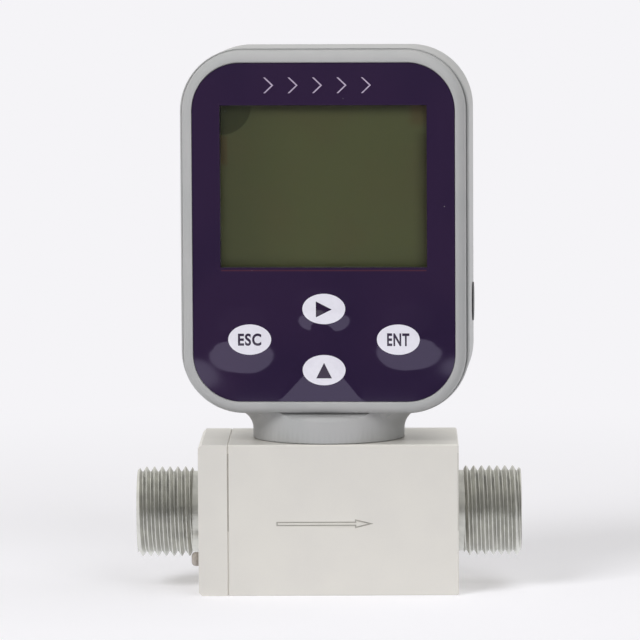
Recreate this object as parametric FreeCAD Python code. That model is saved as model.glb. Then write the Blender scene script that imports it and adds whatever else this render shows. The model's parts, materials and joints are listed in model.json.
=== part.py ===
import FreeCAD, Part
import math
import os

# In-line gas mass flow meter: an aluminium flow block with two threaded fittings, and a
# battery-powered display head on a round neck. Millimetres, +X with the flow, -Y the front,
# +Z up, origin at the centre of the block's bottom face.

V = FreeCAD.Vector
UP = V(0, 0, 1)

# Flow block
body_length = 60.0
body_width = 36.0
body_height = 35.0
end_plate_thickness = 6.8
edge_break = 0.3
plate_corner_cut = 0.8
base_hole_radius = 2.0
base_hole_depth = 5.5
base_hole_spacing = 32.0

# Fittings with a G 1/2 pipe thread
thread_radius = 10.4775
thread_end_chamfer = 0.8
fitting_reach = 14.7
relief_radius = 9.45
inlet_relief = 1.75
outlet_relief = 1.4
bore_radius = 6.5
bore_mouth_chamfer = 0.6
fitting_flange_radius = 13.0
fitting_flange_thickness = 2.5
outlet_seat_depth = 9.0
fitting_clearance = 0.1

# Flow conditioner in the inlet pocket
pocket_radius = 10.0
screen_thickness = 0.3
screen_spacing = 2.0
straightener_length = 10.0
straightener_rings = 3
screen_rings = 2
straightener_cell = 2.2
straightener_pitch = 2.6
screen_hole = 1.2
spacer_wall = 1.2
pack_clearance = 0.1

# Square-section seal rings
seal_section = 1.4
seal_squeeze = 0.14
inlet_seal_radius = 11.6
seal_groove_play = 0.1

# Sensor in the top bore
sensor_stem_radius = 6.0
sensor_flange_radius = 10.0
sensor_flange_thickness = 2.4
sensor_blade_thickness = 1.6
sensor_blade_width = 7.0
sensor_chip_size = 3.0
sensor_chip_thickness = 0.4
sensor_board_radius = 7.6
sensor_board_thickness = 1.0
sensor_seal_drop = 4.0

# Round neck of the display head
neck_radius = 17.65
neck_wall = 2.0
neck_front_wall = 0.6
neck_height = 6.65
neck_floor = 3.0
neck_blend = 2.6
blend_overlap = 0.05
neck_shoulder_drop = 1.5
shoulder_round = 0.9
shoulder_gap = 0.15
neck_window_radius = 8.6
neck_screw_circle = 12.5
neck_seal_radius = 16.2

# Display head
head_turn = 2.9
head_width = 66.6
head_height = 84.3
head_corner = 14.5
head_back_y = 18.0
head_back_radius = 3.5
head_rim_radius = 0.9
head_wall = 2.6
head_back_wall = 3.4
parting_y = -12.4
bezel_width = 65.15
bezel_height = 83.45
bezel_front_y = -16.9
bezel_round = 2.3
bezel_floor = 1.8
gasket_section = 1.0
tongue_length = 1.6
tongue_thickness = 1.0
tongue_gap = 0.15

# Keypad overlay and display
overlay_width = 60.3
overlay_height = 77.8
overlay_corner = 11.0
overlay_thickness = 0.8
overlay_inset = 0.2
overlay_gap = 0.1
boss_gap = 0.2
window_width = 47.5
window_height = 37.25
window_rise = 10.6
window_lap = 2.5
pane_thickness = 0.8
glass_margin = 1.0
glass_thickness = 2.8
backlight_thickness = 1.8
pin_count = 12
pin_size = 0.5
key_drop = 24.6
key_spread = 17.1
key_step = 7.05
key_width = 9.9
key_height = 7.0
key_pad_height = 0.15
dome_curve = 60.0
side_dome_radius = 8.8
side_dome_shift = 1.5
upper_dome_radius = 6.0
lower_dome_radius = 7.2
key_hole_radius = 4.5

# Circuit board
board_side_room = 1.7
board_end_room = 2.55
board_corner = 9.0
board_thickness = 1.6
switch_size = 6.0
switch_height = 3.5
switch_button_radius = 1.75
switch_air_gap = 0.4
chip_sizes = [
    (-19.0, 10.0, 10.0, 10.0, 1.4),
    (-19.0, -6.0, 6.0, 8.0, 1.6),
    (19.0, 12.0, 8.0, 5.0, 2.2),
]

# Screws
small_screw_radius = 1.25
small_head_radius = 2.25
small_head_height = 1.6
screw_play = 0.15
end_screw_y = 14.6
end_screw_z = 13.6
end_screw_length = 14.0
neck_screw_length = 9.0
case_screw_side = 8.3
case_screw_end = 8.15
case_screw_sink = 6.0
case_screw_bite = 3.5
case_boss_radius = 3.9
bezel_boss_radius = 2.6
seal_screw_inset = 6.0
seal_screw_z = 7.85
seal_screw_radius = 1.0
seal_screw_length = 5.0
seal_head_radius = 1.65
seal_head_height = 1.8
seal_head_round = 0.9
seal_slot_width = 0.5
seal_slot_depth = 0.5

# Battery bay behind its cover
cell_radius = 7.25
cell_length = 50.5
bay_margin = 1.5
bay_end_room = 2.5
bay_wall = 1.5
bay_floor_y = -0.6
cell_gap = 0.1
cell_nub_radius = 2.9
cell_nub_height = 1.0
contact_thickness = 0.4
contact_width = 8.0
contact_spring_radius = 2.0
contact_slot_play = 0.1
cover_width = 26.0
cover_height = 69.0
cover_corner = 3.0
cover_thickness = 1.6
cover_gap = 0.15
cover_gasket_thickness = 0.6
cover_gasket_width = 1.8
cover_gasket_margin = 0.3
cover_gasket_corner = 2.4
cover_grip_width = 17.0
cover_grip_height = 2.0
cover_grip_rise = 17.0
cover_ridge_height = 1.0
cover_ridge_pitch = 2.6
cover_ridge_count = 3
cover_screw_rise = 31.6
cover_screw_length = 6.0
cover_boss_radius = 2.5

# Signal socket in the right side wall
port_z = 66.0
port_y = 8.0
port_radius = 4.5
socket_clearance = 0.1
socket_wall = 1.0
socket_length = 9.8
socket_mouth_depth = 6.0
socket_nut_flats = 11.0
socket_nut_thickness = 2.0
socket_pin_radius = 0.4
socket_pin_circle = 1.9
socket_pin_setback = 2.0
cap_lip = 0.3
cap_stem_length = 1.5
cap_stem_play = 0.1
lead_radius = 1.1
lead_bend = 4.5
lead_header_x = 16.0
lead_header_size = 4.0
lead_header_height = 3.0

# Flexible strip from the sensor to the board
flex_width = 8.0
flex_thickness = 0.3
flex_bend = 4.0
flex_plug_height = 2.5
flex_plug_depth = 2.4
flex_plug_size = 10.0
flex_plug_width = 3.0
flex_room = 2.35

# Engraved flow arrow on the front
arrow_start_x = -12.0
arrow_tip_x = 10.4
arrow_z = 16.7
arrow_shaft = 1.0
arrow_head_length = 4.3
arrow_head_height = 2.1
arrow_line = 0.3
arrow_depth = 0.15

# Worked out from the sizes above
body_left = -body_length / 2
body_right = body_length / 2
body_front = -body_width / 2
body_back = body_width / 2
seam_x = body_left + end_plate_thickness
seal_screw_y = body_front + seal_screw_inset
axis_z = body_height / 2
pocket_depth = 3 * screen_spacing + 2 * screen_thickness + straightener_length
head_low_z = body_height + neck_height
head_mid_z = head_low_z + head_height / 2
bezel_corner = head_corner - (head_width - bezel_width) / 2
overlay_front_y = bezel_front_y + overlay_inset
overlay_back_y = overlay_front_y + overlay_thickness
glass_front_y = overlay_back_y + bezel_floor
glass_back_y = glass_front_y + glass_thickness
board_front_y = glass_back_y + backlight_thickness
board_back_y = board_front_y + board_thickness
board_width = head_width - 2 * (head_wall + board_side_room)
board_height = head_height - 2 * (head_wall + board_end_room)
case_screw_x = head_width / 2 - case_screw_side
case_screw_z = head_height / 2 - case_screw_end
window_z = head_mid_z + window_rise
key_z = head_mid_z - key_drop
bay_half_length = cell_length / 2 + bay_end_room
flex_top_z = head_mid_z - bay_half_length - bay_wall - flex_room
neck_floor_z = body_height + neck_floor
seal_depth = seal_section - seal_squeeze
blind_bore_z = body_height - sensor_flange_thickness


# Plain solids

def box(x0, x1, y0, y1, z0, z1):
    return Part.makeBox(x1 - x0, y1 - y0, z1 - z0, V(x0, y0, z0))


def rod(radius, start, end):
    run = end - start
    return Part.makeCylinder(radius, run.Length, start, run)


def rod_x(radius, x0, x1, y=0.0, z=axis_z):
    return rod(radius, V(x0, y, z), V(x1, y, z))


def rod_y(radius, y0, y1, x, z):
    return rod(radius, V(x, y0, z), V(x, y1, z))


def rod_z(radius, z0, z1, x=0.0, y=0.0):
    return rod(radius, V(x, y, z0), V(x, y, z1))


def ring_x(outer, inner, x0, x1):
    return rod_x(outer, x0, x1).cut(rod_x(inner, x0, x1))


def ring_z(outer, inner, z0, z1):
    return rod_z(outer, z0, z1).cut(rod_z(inner, z0, z1))


def joined(shapes):
    solid = shapes[0].multiFuse(shapes[1:])
    return solid.removeSplitter()


def turned_x(profile):
    """Solid of revolution about the flow axis from (x, radius) points."""
    points = [V(x, 0, axis_z + radius) for x, radius in profile]
    face = Part.Face(Part.makePolygon(points + points[:1]))
    return face.revolve(V(0, 0, axis_z), V(1, 0, 0), 360)


def rounded_outline(width, height, corner, y, mid_z=head_mid_z):
    """Closed wire of four lines and four quarter arcs in a plane across Y."""
    edges = []
    last = None
    first = None
    for turn, (side, rise) in enumerate([(1, 1), (-1, 1), (-1, -1), (1, -1)]):
        middle = V(side * (width / 2 - corner), y, mid_z + rise * (height / 2 - corner))
        marks = []
        for eighth in range(3):
            angle = math.radians(90 * turn + 45 * eighth)
            marks.append(middle + V(math.cos(angle), 0, math.sin(angle)) * corner)
        if last is None:
            first = marks[0]
        else:
            edges.append(Part.makeLine(last, marks[0]))
        edges.append(Part.Arc(*marks).toShape())
        last = marks[2]
    edges.append(Part.makeLine(last, first))
    return Part.Wire(edges)


def slab(width, height, corner, y0, y1, mid_z=head_mid_z):
    """Plate with rounded corners from y0 back to y1."""
    face = Part.Face(rounded_outline(width, height, corner, y0, mid_z))
    return face.extrude(V(0, y1 - y0, 0))


def edges_across_y(shape, y):
    found = []
    for edge in shape.Edges:
        bounds = edge.BoundBox
        if abs(bounds.YMin - y) < 1e-6 and abs(bounds.YMax - y) < 1e-6:
            found.append(edge)
    return found


def hex_prism(flats, height):
    """Hexagonal prism standing on the origin."""
    points = []
    for side in range(6):
        angle = math.radians(60 * side)
        points.append(V(math.cos(angle), math.sin(angle), 0) * (flats / math.sqrt(3)))
    return Part.Face(Part.makePolygon(points + points[:1])).extrude(UP * height)


def placed(shape, at, direction):
    """Moves a solid built on the origin along +Z to a place and a direction."""
    shape.Placement = FreeCAD.Placement(at, FreeCAD.Rotation(UP, direction))
    return shape


def head_turned(shape):
    """The display head sits a little turned on its neck."""
    moved = shape.copy()
    moved.rotate(V(0, 0, 0), UP, -head_turn)
    return moved


def socket_screw(at, direction, length, countersunk=False):
    """Hexagon socket screw whose seat is at the given point, head outwards."""
    shank = Part.makeCylinder(small_screw_radius, length, V(0, 0, -length))
    if countersunk:
        drop = small_head_radius - small_screw_radius
        head = Part.makeCone(small_screw_radius, small_head_radius, drop, V(0, 0, -drop))
        top = 0
    else:
        head = Part.makeCylinder(small_head_radius, small_head_height)
        top = small_head_height
    recess_depth = small_head_height * 0.6
    recess = hex_prism(small_screw_radius * 1.2, recess_depth)
    recess.translate(UP * (top - recess_depth))
    return placed(joined([shank, head]).cut(recess), at, direction)


def screw_sink(at, inward):
    """Conical seat for a countersunk screw, cut inwards from a face."""
    drop = small_head_radius - small_screw_radius
    return Part.makeCone(small_head_radius + screw_play, small_screw_radius + screw_play, drop,
                         at, inward)


# Places of repeated features

def end_screw_places():
    places = []
    for side in (-1, 1):
        for rise in (-1, 1):
            places.append(V(body_left, side * end_screw_y, axis_z + rise * end_screw_z))
    return places


def neck_screw_places():
    places = []
    for quarter in range(4):
        angle = math.radians(45 + 90 * quarter)
        places.append(V(math.cos(angle), math.sin(angle), 0) * neck_screw_circle)
    return places


def case_screw_places():
    places = []
    for side in (-1, 1):
        for rise in (-1, 1):
            places.append((side * case_screw_x, head_mid_z + rise * case_screw_z))
    return places


def cover_screw_heights():
    return [head_mid_z - cover_screw_rise, head_mid_z + cover_screw_rise]


def key_places():
    return {
        "right": (0.0, key_z + key_step),
        "up": (0.0, key_z - key_step),
        "escape": (-key_spread, key_z),
        "enter": (key_spread, key_z),
    }


# Flow block

def arrow_groove():
    """Outline of a long arrow, cut as a fine line into the front face."""
    half = arrow_shaft / 2
    barb = arrow_head_height / 2
    neck_x = arrow_tip_x - arrow_head_length
    points = [
        (arrow_start_x, half),
        (neck_x, half),
        (neck_x, barb),
        (arrow_tip_x, 0.0),
        (neck_x, -barb),
        (neck_x, -half),
        (arrow_start_x, -half),
    ]
    corners = [V(x, body_front, arrow_z + z) for x, z in points]
    outer = Part.Face(Part.makePolygon(corners + corners[:1]))
    inner = outer.makeOffset2D(-arrow_line, 2)
    run = V(0, arrow_depth, 0)
    return outer.extrude(run).cut(inner.extrude(run))


def flow_body():
    block = box(seam_x, body_right, body_front, body_back, 0, body_height)
    block = block.makeChamfer(edge_break, block.Edges)
    tools = [
        rod_x(pocket_radius, seam_x, seam_x + pocket_depth),
        rod_x(bore_radius, seam_x, body_right),
        rod_x(relief_radius + fitting_clearance, body_right - outlet_seat_depth, body_right),
        seal_groove_x(inlet_seal_radius, seam_x, 1),
        rod_z(sensor_flange_radius + fitting_clearance, blind_bore_z, body_height),
        rod_z(sensor_stem_radius + fitting_clearance, axis_z, body_height),
        arrow_groove(),
    ]
    for place in end_screw_places():
        tools.append(rod_x(small_screw_radius, seam_x, body_left + end_screw_length, place.y, place.z))
    for side in (-1, 1):
        tools.append(rod_z(base_hole_radius, 0, base_hole_depth, side * base_hole_spacing / 2))
    for place in neck_screw_places():
        hole_end = neck_floor_z - neck_screw_length
        hole = rod_z(small_screw_radius, hole_end, body_height, place.x, place.y)
        tools.append(head_turned(hole))
    return block.cut(tools)


def seal_groove_x(radius, face_x, inward):
    half = seal_section / 2 + seal_groove_play
    depth = seal_depth
    return ring_x(radius + half, radius - half, min(face_x, face_x + inward * depth),
                  max(face_x, face_x + inward * depth))


def end_plate():
    plate = box(body_left, seam_x, body_front, body_back, 0, body_height)
    outer_edges = []
    other_edges = []
    for edge in plate.Edges:
        bounds = edge.BoundBox
        on_outer_face = bounds.XMax < body_left + 1e-6
        along_y = bounds.YLength > body_width / 2
        if on_outer_face and along_y:
            outer_edges.append(edge)
        elif not along_y:
            other_edges.append(edge)
    plate = plate.makeChamfer(plate_corner_cut, outer_edges)
    tools = [
        rod_x(relief_radius + fitting_clearance, body_left, seam_x),
        rod_x(fitting_flange_radius + fitting_clearance, seam_x - fitting_flange_thickness, seam_x),
        rod_x(seal_screw_radius, body_left, body_left + seal_screw_length,
              seal_screw_y, seal_screw_z),
    ]
    for place in end_screw_places():
        tools.append(rod_x(small_screw_radius + screw_play, body_left, seam_x, place.y, place.z))
        tools.append(screw_sink(place, V(1, 0, 0)))
    plate = plate.cut(tools)
    seam_edges = []
    for edge in plate.Edges:
        bounds = edge.BoundBox
        straight = edge.Length > body_height - 2 * plate_corner_cut - 1e-6
        if bounds.XMin > seam_x - 1e-6 and straight and edge.Curve.TypeId == "Part::GeomLine":
            seam_edges.append(edge)
    return plate.makeChamfer(edge_break / 2, seam_edges)


def end_plate_screws():
    screws = []
    for place in end_screw_places():
        screws.append(socket_screw(place, V(-1, 0, 0), end_screw_length, countersunk=True))
    return Part.makeCompound(screws)


def seal_screw():
    """Small raised screw with a rounded, slotted head."""
    shank = Part.makeCylinder(seal_screw_radius, seal_screw_length, V(0, 0, -seal_screw_length))
    head = Part.makeCylinder(seal_head_radius, seal_head_height)
    rim = [edge for edge in head.Edges if edge.BoundBox.ZMin > seal_head_height - 1e-6]
    head = head.makeFillet(seal_head_round, rim)
    slot = Part.makeBox(2 * seal_head_radius, seal_slot_width, seal_slot_depth,
                        V(-seal_head_radius, -seal_slot_width / 2,
                          seal_head_height - seal_slot_depth))
    screw = joined([shank, head]).cut(slot)
    return placed(screw, V(body_left, seal_screw_y, seal_screw_z), V(-1, 0, 0))


# Fittings

def inlet_fitting():
    """Threaded nipple whose flange is held between the end plate and the block."""
    end_x = body_left - fitting_reach
    thread_x = body_left - inlet_relief
    flange_x = seam_x - fitting_flange_thickness
    return turned_x([
        (end_x, bore_radius + bore_mouth_chamfer),
        (end_x, thread_radius - thread_end_chamfer),
        (end_x + thread_end_chamfer, thread_radius),
        (thread_x, thread_radius),
        (thread_x, relief_radius),
        (flange_x, relief_radius),
        (flange_x, fitting_flange_radius),
        (seam_x, fitting_flange_radius),
        (seam_x, bore_radius),
        (end_x + bore_mouth_chamfer, bore_radius),
    ])


def outlet_fitting():
    """Threaded nipple with a plain shank bonded into the block."""
    end_x = body_right + fitting_reach
    thread_x = body_right + outlet_relief
    seat_x = body_right - outlet_seat_depth
    seal_x = seat_x + seal_section
    groove_radius = relief_radius - seal_depth
    return turned_x([
        (end_x, bore_radius + bore_mouth_chamfer),
        (end_x, thread_radius - thread_end_chamfer),
        (end_x - thread_end_chamfer, thread_radius),
        (thread_x, thread_radius),
        (thread_x, relief_radius),
        (seal_x + seal_section + seal_groove_play, relief_radius),
        (seal_x + seal_section + seal_groove_play, groove_radius),
        (seal_x - seal_groove_play, groove_radius),
        (seal_x - seal_groove_play, relief_radius),
        (seat_x, relief_radius),
        (seat_x, bore_radius),
        (end_x - bore_mouth_chamfer, bore_radius),
    ])


def end_plate_seal():
    half = seal_section / 2
    return ring_x(inlet_seal_radius + half, inlet_seal_radius - half,
                  seam_x, seam_x + seal_depth)


def outlet_seal():
    seal_x = body_right - outlet_seat_depth + seal_section
    return ring_x(relief_radius + fitting_clearance, relief_radius - seal_depth,
                  seal_x, seal_x + seal_section)


# Flow conditioner

def honeycomb_centres(rings):
    """Centres of a hexagonal pattern, as far out as the given number of rings."""
    centres = []
    for column in range(-rings, rings + 1):
        for row in range(-rings, rings + 1):
            if abs(column + row) <= rings:
                y = straightener_pitch * (column + row / 2)
                z = straightener_pitch * row * math.sqrt(3) / 2
                centres.append((y, z))
    return centres


def conditioner_disc(x0, x1, rings, cell):
    """Disc with a hexagonal pattern of six-sided passages."""
    disc = rod_x(pocket_radius - pack_clearance, x0, x1)
    passages = []
    for y, z in honeycomb_centres(rings):
        passage = placed(hex_prism(cell, x1 - x0), V(x0, y, axis_z + z), V(1, 0, 0))
        passages.append(passage)
    return disc.cut(passages)


def flow_straightener():
    end_x = seam_x + pocket_depth
    return conditioner_disc(end_x - straightener_length, end_x, straightener_rings,
                            straightener_cell)


def flow_screens():
    first_x = seam_x + screen_spacing
    second_x = first_x + screen_thickness + screen_spacing
    screens = []
    for x in (first_x, second_x):
        screens.append(conditioner_disc(x, x + screen_thickness, screen_rings, screen_hole))
    return Part.makeCompound(screens)


def screen_spacers():
    outer = pocket_radius - pack_clearance
    step = screen_spacing + screen_thickness
    rings = []
    for place in range(3):
        x = seam_x + place * step
        rings.append(ring_x(outer, outer - spacer_wall, x, x + screen_spacing))
    return Part.makeCompound(rings)


# Sensor

def sensor_carrier():
    """Moulded plug with a thin blade that stands in the gas stream."""
    flange = rod_z(sensor_flange_radius, blind_bore_z, body_height)
    stem_end = axis_z + math.sqrt(bore_radius ** 2 - sensor_stem_radius ** 2) + fitting_clearance
    stem_low = max(stem_end, axis_z + sensor_chip_size)
    stem = rod_z(sensor_stem_radius, stem_low, body_height)
    half_width = sensor_blade_width / 2
    half_thick = sensor_blade_thickness / 2
    blade = box(-half_width, half_width, -half_thick, half_thick,
                axis_z - sensor_chip_size, body_height)
    plug = joined([flange, stem, blade])
    groove_z = blind_bore_z - sensor_seal_drop
    groove = ring_z(sensor_stem_radius + 1, sensor_stem_radius - seal_depth,
                    groove_z, groove_z + seal_section + seal_groove_play)
    half_chip = sensor_chip_size / 2
    chip_pocket = box(-half_chip, half_chip, -half_thick, -half_thick + sensor_chip_thickness,
                      axis_z - half_chip, axis_z + half_chip)
    return plug.cut([groove, chip_pocket])


def sensor_chip():
    half_thick = sensor_blade_thickness / 2
    half_chip = sensor_chip_size / 2
    return box(-half_chip, half_chip, -half_thick, -half_thick + sensor_chip_thickness,
               axis_z - half_chip, axis_z + half_chip)


def sensor_seal():
    seal_z = blind_bore_z - sensor_seal_drop
    return ring_z(sensor_stem_radius + fitting_clearance,
                  sensor_stem_radius - seal_depth, seal_z, seal_z + seal_section)


def sensor_board():
    """Round amplifier board with the plug for the flexible strip."""
    top = body_height + sensor_board_thickness
    board = rod_z(sensor_board_radius, body_height, top)
    half = flex_plug_size / 2
    plug = box(-half, half, -flex_plug_depth / 2, flex_plug_depth / 2, top, top + flex_plug_height)
    return joined([board, plug])


def neck_seal():
    half = seal_section / 2
    return ring_z(neck_seal_radius + half, neck_seal_radius - half,
                  body_height, body_height + seal_depth)


def neck_screws():
    screws = []
    for place in neck_screw_places():
        seat = V(place.x, place.y, neck_floor_z)
        screws.append(socket_screw(seat, UP, neck_screw_length))
    return Part.makeCompound(screws)


# Rear housing, moulded in one piece with its neck

def neck_solid():
    """Neck whose front part, ahead of the case, ends in a sloped shoulder."""
    top = head_low_z + head_wall
    neck = rod_z(neck_radius, body_height, top)
    shoulder_z = head_low_z + (head_height - bezel_height) / 2 - shoulder_gap
    slope_low = shoulder_z - neck_shoulder_drop
    reach = neck_radius + 1
    corners = [
        V(-reach, parting_y, shoulder_z),
        V(-reach, -neck_radius, slope_low),
        V(-reach, -reach, slope_low),
        V(-reach, -reach, top + 1),
        V(-reach, parting_y, top + 1),
    ]
    front_cut = Part.Face(Part.makePolygon(corners + corners[:1])).extrude(V(2 * reach, 0, 0))
    neck = neck.cut(front_cut)
    shoulder = [edge for edge in neck.Edges if edge.Curve.TypeId == "Part::GeomEllipse"]
    return neck.makeFillet(shoulder_round, shoulder)


def neck_flare():
    """Concave blend between the neck and the underside of the case."""
    low = head_low_z - neck_blend
    radius = neck_blend + blend_overlap
    middle = V(neck_radius + neck_blend, 0, low)
    slant = math.sqrt(0.5)
    start = middle + V(-radius, 0, 0)
    end = middle + V(0, 0, radius)
    inner_low = V(neck_radius - neck_wall / 2, 0, low)
    inner_high = V(neck_radius - neck_wall / 2, 0, end.z + 1)
    edges = [
        Part.Arc(start, middle + V(-slant, 0, slant) * radius, end).toShape(),
        Part.makeLine(end, end + UP),
        Part.makeLine(end + UP, inner_high),
        Part.makeLine(inner_high, inner_low),
        Part.makeLine(inner_low, start),
    ]
    flare = Part.Face(Part.Wire(edges)).revolve(V(0, 0, 0), UP, 360)
    reach = neck_radius + neck_blend + 1
    front = parting_y + head_rim_radius + blend_overlap
    back = head_back_y - head_back_radius - blend_overlap
    return flare.common(box(-reach, reach, front, back, low - 1, end.z + 1))


def case_cavity():
    inner_corner = head_corner - head_wall
    cavity = slab(head_width - 2 * head_wall, head_height - 2 * head_wall, inner_corner,
                  parting_y, head_back_y - head_back_wall)
    neck_inner = neck_radius - neck_wall
    neck_hole = rod_z(neck_inner, neck_floor_z, head_low_z + head_wall + 1)
    keep = box(-neck_inner, neck_inner, parting_y + neck_front_wall, neck_inner,
               neck_floor_z, head_low_z + head_wall + 1)
    return [cavity, neck_hole.common(keep)]


def bay_limits():
    """Inside of the battery bay: half width, low and high ends."""
    half_width = cell_radius + bay_margin
    return half_width, head_mid_z - bay_half_length, head_mid_z + bay_half_length


def gasket_ring(outer_inset, section, y0, y1):
    """Rounded frame that follows the inside of the case's rim."""
    inset = 2 * (head_wall - outer_inset)
    outer = slab(head_width - inset, head_height - inset, head_corner - inset / 2, y0, y1)
    inner_inset = inset + 2 * section
    inner = slab(head_width - inner_inset, head_height - inner_inset,
                 head_corner - inner_inset / 2, y0, y1)
    return outer.cut(inner)


def rear_housing():
    case = slab(head_width, head_height, head_corner, parting_y, head_back_y)
    case = case.makeFillet(head_back_radius, edges_across_y(case, head_back_y))
    case = case.makeFillet(head_rim_radius, edges_across_y(case, parting_y))
    shell = case.multiFuse([neck_solid(), neck_flare()]).cut(case_cavity())

    inner_back_y = head_back_y - head_back_wall
    half_width, low, high = bay_limits()
    additions = [
        box(-half_width - bay_wall, half_width + bay_wall, bay_floor_y - bay_wall, inner_back_y,
            low - bay_wall, high + bay_wall),
    ]
    for x, z in case_screw_places():
        additions.append(rod_y(case_boss_radius, board_back_y, inner_back_y, x, z))
    cover_seat_y = head_back_y - cover_thickness - cover_gasket_thickness
    for z in cover_screw_heights():
        additions.append(rod_y(cover_boss_radius, cover_seat_y - cover_screw_length, cover_seat_y,
                               0, z))
    shell = joined([shell] + additions)

    tools = [
        box(-half_width, half_width, bay_floor_y, cover_seat_y, low, high),
        slab(cover_width + 2 * cover_gap, cover_height + 2 * cover_gap, cover_corner + cover_gap,
             cover_seat_y, head_back_y),
        rod_x(port_radius, head_width / 2 - 2 * head_wall, head_width / 2 + 1, port_y, port_z),
        gasket_ring(gasket_section, gasket_section, parting_y, parting_y + gasket_section),
        rod_z(neck_window_radius, body_height, neck_floor_z),
        ring_z(neck_seal_radius + seal_section / 2, neck_seal_radius - seal_section / 2,
               body_height, body_height + seal_depth),
    ]
    for x, z in case_screw_places():
        tools.append(rod_y(small_screw_radius + screw_play, board_back_y, head_back_y, x, z))
        tools.append(rod_y(small_head_radius + screw_play, head_back_y - case_screw_sink,
                           head_back_y, x, z))
    for z in cover_screw_heights():
        tools.append(rod_y(small_screw_radius, cover_seat_y - cover_screw_length + 1,
                           cover_seat_y, 0, z))
    for place in neck_screw_places():
        tools.append(rod_z(small_screw_radius + screw_play, body_height, neck_floor_z,
                           place.x, place.y))
    for side in (-1, 1):
        tools.append(contact_slot(side))
    return shell.cut(tools)


def housing_gasket():
    return gasket_ring(gasket_section, gasket_section, parting_y, parting_y + gasket_section)


def housing_screws():
    seat_y = head_back_y - case_screw_sink
    length = seat_y - board_front_y + case_screw_bite
    screws = []
    for x, z in case_screw_places():
        screws.append(socket_screw(V(x, seat_y, z), V(0, 1, 0), length))
    return Part.makeCompound(screws)


# Front bezel

def front_bezel():
    ring = slab(bezel_width, bezel_height, bezel_corner, bezel_front_y, parting_y)
    ring = ring.makeFillet(bezel_round, edges_across_y(ring, bezel_front_y))
    inner_width = bezel_width - 2 * head_wall
    inner_height = bezel_height - 2 * head_wall
    inner_corner = bezel_corner - head_wall
    bezel = ring.cut(slab(inner_width, inner_height, inner_corner, glass_front_y, parting_y))

    tongue_inset = 2 * (head_wall + tongue_gap)
    tongue_width = head_width - tongue_inset
    tongue_height = head_height - tongue_inset
    tongue = slab(tongue_width, tongue_height, head_corner - tongue_inset / 2,
                  parting_y - 1, parting_y + tongue_length)
    hollow = slab(tongue_width - 2 * tongue_thickness, tongue_height - 2 * tongue_thickness,
                  head_corner - tongue_inset / 2 - tongue_thickness,
                  parting_y - 1, parting_y + tongue_length)
    additions = [tongue.cut(hollow)]
    for x, z in case_screw_places():
        additions.append(rod_y(bezel_boss_radius, overlay_back_y + boss_gap, board_front_y, x, z))
    bezel = joined([bezel] + additions)

    play = 2 * overlay_gap
    lap = 2 * window_lap
    tools = [
        slab(overlay_width + play, overlay_height + play, overlay_corner + overlay_gap,
             bezel_front_y, overlay_back_y),
        window_block(window_width, window_height, overlay_back_y, glass_front_y),
        window_block(window_width + lap + play, window_height + lap + play,
                     overlay_back_y, overlay_back_y + pane_thickness),
    ]
    for x, z in key_places().values():
        tools.append(rod_y(key_hole_radius, overlay_back_y, glass_front_y, x, z))
    for x, z in case_screw_places():
        tools.append(rod_y(small_screw_radius, board_front_y - case_screw_bite, board_front_y,
                           x, z))
    return bezel.cut(tools)


def window_block(width, height, y0, y1):
    return box(-width / 2, width / 2, y0, y1, window_z - height / 2, window_z + height / 2)


# Keypad overlay and display

def dome_places():
    """Middle and radius of the film's swelling over each key."""
    side = key_spread + side_dome_shift
    return {
        "right": (0.0, key_z + key_step, upper_dome_radius),
        "up": (0.0, key_z - key_step, lower_dome_radius),
        "escape": (-side, key_z, side_dome_radius),
        "enter": (side, key_z, side_dome_radius),
    }


def dome_ball(key, lift):
    """Large ball whose cap is the swelling over a key, lifted out of the film."""
    x, z, radius = dome_places()[key]
    depth = math.sqrt(dome_curve ** 2 - radius ** 2)
    return Part.makeSphere(dome_curve, V(x, overlay_front_y - lift + depth, z))


def key_dome(key):
    """Low spherical swelling of the film over one key."""
    x, z, radius = dome_places()[key]
    return dome_ball(key, 0.0).common(
        rod_y(radius, overlay_front_y - dome_curve, overlay_front_y + overlay_thickness / 2, x, z))


def key_pad(key):
    """Oval touch area that stands slightly proud of its dome."""
    x, z = key_places()[key]
    ellipse = Part.Ellipse(V(x, overlay_front_y - dome_curve, z), key_width / 2, key_height / 2)
    ellipse.Axis = V(0, 1, 0)
    ellipse.XAxis = V(1, 0, 0)
    face = Part.Face(Part.Wire([ellipse.toShape()]))
    column = face.extrude(V(0, dome_curve + overlay_thickness / 2, 0))
    return column.common(dome_ball(key, key_pad_height))


def keypad_overlay():
    film = slab(overlay_width, overlay_height, overlay_corner, overlay_front_y, overlay_back_y)
    raised = []
    for key in key_places():
        raised.append(key_dome(key))
        raised.append(key_pad(key))
    film = joined([film] + raised)
    return film.cut(window_block(window_width, window_height, overlay_front_y, overlay_back_y))


def display_window():
    lap = 2 * window_lap
    return window_block(window_width + lap, window_height + lap, overlay_back_y,
                        overlay_back_y + pane_thickness)


def lcd_glass():
    return window_block(window_width + 2 * glass_margin, window_height + 2 * glass_margin,
                        glass_front_y, glass_back_y)


def lcd_backlight():
    return window_block(window_width + 2 * glass_margin, window_height + 2 * glass_margin,
                        glass_back_y, board_front_y)


def lcd_pins():
    """Row of square pins down the glass's upper edge to the board."""
    top_z = window_z + window_height / 2 + glass_margin
    pitch = window_width * 0.8 / (pin_count - 1)
    pins = []
    for place in range(pin_count):
        x = (place - (pin_count - 1) / 2) * pitch
        pins.append(box(x - pin_size / 2, x + pin_size / 2, glass_front_y + glass_thickness / 2,
                        board_front_y, top_z, top_z + pin_size))
    return Part.makeCompound(pins)


# Circuit board

def main_board():
    board = slab(board_width, board_height, board_corner, board_front_y, board_back_y)
    holes = []
    for x, z in case_screw_places():
        holes.append(rod_y(small_screw_radius + screw_play, board_front_y, board_back_y, x, z))
    return board.cut(holes)


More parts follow.
